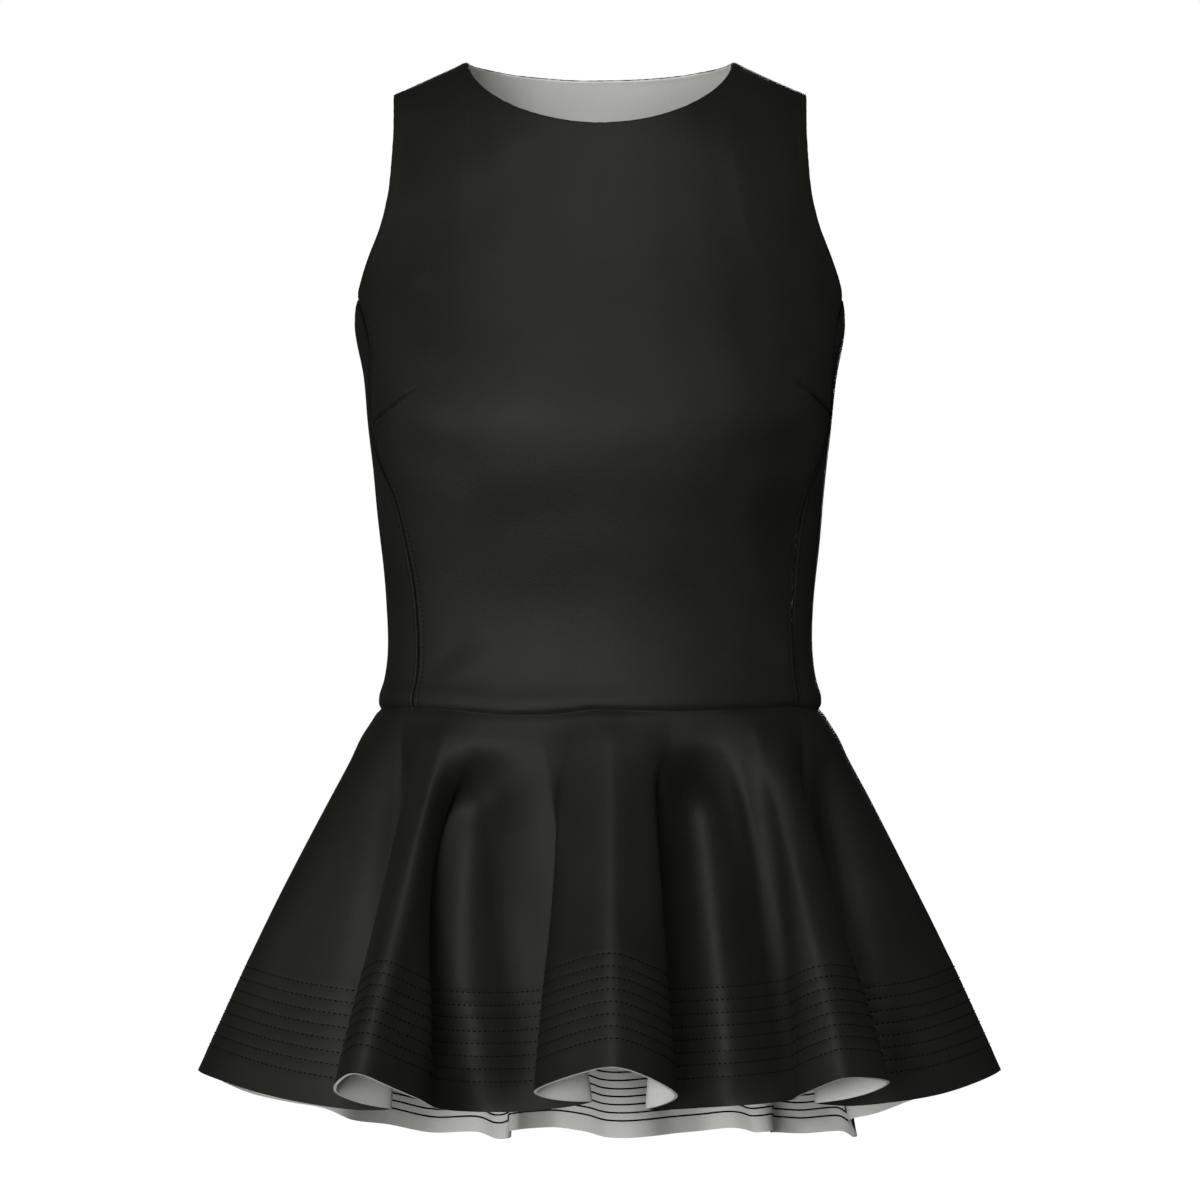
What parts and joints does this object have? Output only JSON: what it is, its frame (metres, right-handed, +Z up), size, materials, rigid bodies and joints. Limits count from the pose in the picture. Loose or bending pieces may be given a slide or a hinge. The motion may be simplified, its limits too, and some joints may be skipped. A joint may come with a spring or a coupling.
{
  "type": "sleeveless peplum top",
  "caption": "Sleeveless round-necked top in thick bonded jersey, fitted to the waist, with a fluted peplum that is longer at the back.",
  "frame": {"origin": "midway between the neck ends of the two shoulder seams, where the wearer's shoulders hold the top", "axes": "+Z up, -Y towards the front, +X towards the wearer's left"},
  "size_m": [0.514, 0.3576, 0.7033],
  "materials": {
    "bonded_jersey": "matt black outside with a faint sheen, off-white inside and at the cut hem"
  },
  "bodies": {
    "root": {"front": "bonded_jersey", "back": "bonded_jersey", "side_left": "bonded_jersey", "side_right": "bonded_jersey", "peplum_front": "bonded_jersey", "peplum_back": "bonded_jersey"}
  },
  "joints": []
}
